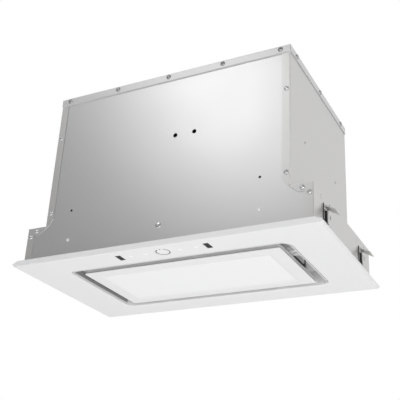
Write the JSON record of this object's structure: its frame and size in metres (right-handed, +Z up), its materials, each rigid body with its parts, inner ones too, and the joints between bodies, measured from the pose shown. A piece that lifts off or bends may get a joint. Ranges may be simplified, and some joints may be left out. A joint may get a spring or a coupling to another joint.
{
  "type": "built-in range hood",
  "caption": "Built-in range hood with a stepped sheet-metal body, perimeter suction flap with lamp, grease filter, fan, damper collar and sprung cabinet clips.",
  "frame": {"origin": "middle of the bottom panel's underside", "axes": "+X to the right seen from the front, +Y to the rear, +Z up"},
  "size_m": [0.5394, 0.295, 0.354],
  "materials": {
    "panel_white": "satin white powder coat",
    "liner_white": "white powder coat",
    "body_grey": "smooth light grey coated sheet",
    "lid_grey": "smooth light grey coated sheet of the lid, brighter than the body",
    "side_grey": "smooth light grey coated sheet",
    "dark_screw": "dark zinc plate",
    "bright_screw": "bright zinc plate",
    "zinc_sheet": "zinc coated sheet",
    "frame_grey": "mid grey coat",
    "black_plastic": "matt black",
    "catch_grey": "mid grey",
    "fan_plastic": "dark grey",
    "motor_steel": "cast and machined",
    "shaft_steel": "ground",
    "box_plastic": "light grey",
    "board_green": "solder mask",
    "white_plastic": "white",
    "black_glass": "gloss black",
    "light_guide": "clear white",
    "diffuser": "opal",
    "led_white": "white board",
    "filter_metal": "anodised",
    "clip_dark": "dark grey",
    "spring_steel": "spring steel"
  },
  "bodies": {
    "cabinet": {"panel_frame": "panel_white", "recess_liner": "liner_white", "hinge_brackets": "liner_white", "front_panel": "body_grey", "rear_panel": "body_grey", "top_cover": "lid_grey", "side_panel_left": "side_grey", "side_panel_right": "side_grey", "lid_screws": "dark_screw", "zinc_screws": "bright_screw", "panel_studs": "bright_screw", "centre_plug": "bright_screw", "clip_pins": "bright_screw", "hinge_pins": "bright_screw", "damper_axle": "bright_screw", "panel_brackets": "zinc_sheet", "outlet_box": "zinc_sheet", "scroll_wall": "zinc_sheet", "scroll_side_left": "zinc_sheet", "scroll_side_right": "zinc_sheet", "motor_bracket": "zinc_sheet", "duct_collar": "black_plastic", "cable_gland": "black_plastic", "lamp_connector": "black_plastic", "flap_catch_left": "catch_grey", "flap_catch_right": "catch_grey", "motor": "motor_steel", "electronics_box": "box_plastic", "electronics_cover": "box_plastic", "terminal_block": "box_plastic", "capacitor": "box_plastic", "power_board": "board_green", "control_board": "board_green", "control_housing": "white_plastic", "sensor_windows": "black_glass", "indicator_lights": "light_guide", "filter_frame": "filter_metal", "filter_mesh": "filter_metal", "clip_housing_front_left": "clip_dark", "clip_housing_front_right": "clip_dark", "clip_housing_rear_left": "clip_dark", "clip_housing_rear_right": "clip_dark", "clip_springs": "spring_steel"},
    "flap": {"flap_plate": "panel_white", "flap_frame": "frame_grey", "led_diffuser": "diffuser", "led_boards": "led_white"},
    "filter_latch": {"filter_latch": "filter_metal"},
    "power_button": {"power_button": "white_plastic", "button_lens": "light_guide"},
    "fan_wheel": {"impeller": "fan_plastic", "fan_blades": "fan_plastic", "fan_rings": "fan_plastic", "motor_shaft": "shaft_steel"},
    "damper_front": {"damper_flap_front": "black_plastic"},
    "damper_rear": {"damper_flap_rear": "black_plastic"},
    "wing_front_left": {"clip_wing_front_left": "spring_steel"},
    "wing_front_right": {"clip_wing_front_right": "spring_steel"},
    "wing_rear_left": {"clip_wing_rear_left": "spring_steel"},
    "wing_rear_right": {"clip_wing_rear_right": "spring_steel"}
  },
  "joints": [
    {"name": "flap_hinge", "type": "hinge", "parent": "cabinet", "child": "flap", "pos_m": [0.003, 0.0885, 0.008], "axis": [1, 0, 0], "range_deg": [0, 85]},
    {"name": "filter_latch_slide", "type": "slide", "parent": "cabinet", "child": "filter_latch", "axis": [0, 1, 0], "range_m": [0, 0.006], "stiffness_N_per_m": 250, "springref_m": -0.004},
    {"name": "power_button_press", "type": "slide", "parent": "cabinet", "child": "power_button", "axis": [0, 0, 1], "range_m": [0, 0.001], "stiffness_N_per_m": 600, "springref_m": -0.001},
    {"name": "fan_spin", "type": "hinge", "parent": "cabinet", "child": "fan_wheel", "pos_m": [0, -0.0348, 0.15], "axis": [1, 0, 0], "continuous": true},
    {"name": "damper_front_hinge", "type": "hinge", "parent": "cabinet", "child": "damper_front", "pos_m": [0, 0.0022, 0.323], "axis": [-1, 0, 0], "range_deg": [0, 75]},
    {"name": "damper_rear_hinge", "type": "hinge", "parent": "cabinet", "child": "damper_rear", "pos_m": [0, 0.0022, 0.323], "axis": [1, 0, 0], "range_deg": [0, 75]},
    {"name": "wing_front_left_fold", "type": "hinge", "parent": "cabinet", "child": "wing_front_left", "pos_m": [-0.248, -0.0848, 0.05], "axis": [0, -1, 0], "range_deg": [0, 45], "stiffness_Nm_per_rad": 0.06, "springref_deg": -34.38},
    {"name": "wing_front_right_fold", "type": "hinge", "parent": "cabinet", "child": "wing_front_right", "pos_m": [0.248, -0.0848, 0.05], "axis": [0, 1, 0], "range_deg": [0, 45], "stiffness_Nm_per_rad": 0.06, "springref_deg": -34.38},
    {"name": "wing_rear_left_fold", "type": "hinge", "parent": "cabinet", "child": "wing_rear_left", "pos_m": [-0.248, 0.0892, 0.05], "axis": [0, -1, 0], "range_deg": [0, 45], "stiffness_Nm_per_rad": 0.06, "springref_deg": -34.38},
    {"name": "wing_rear_right_fold", "type": "hinge", "parent": "cabinet", "child": "wing_rear_right", "pos_m": [0.248, 0.0892, 0.05], "axis": [0, 1, 0], "range_deg": [0, 45], "stiffness_Nm_per_rad": 0.06, "springref_deg": -34.38}
  ]
}
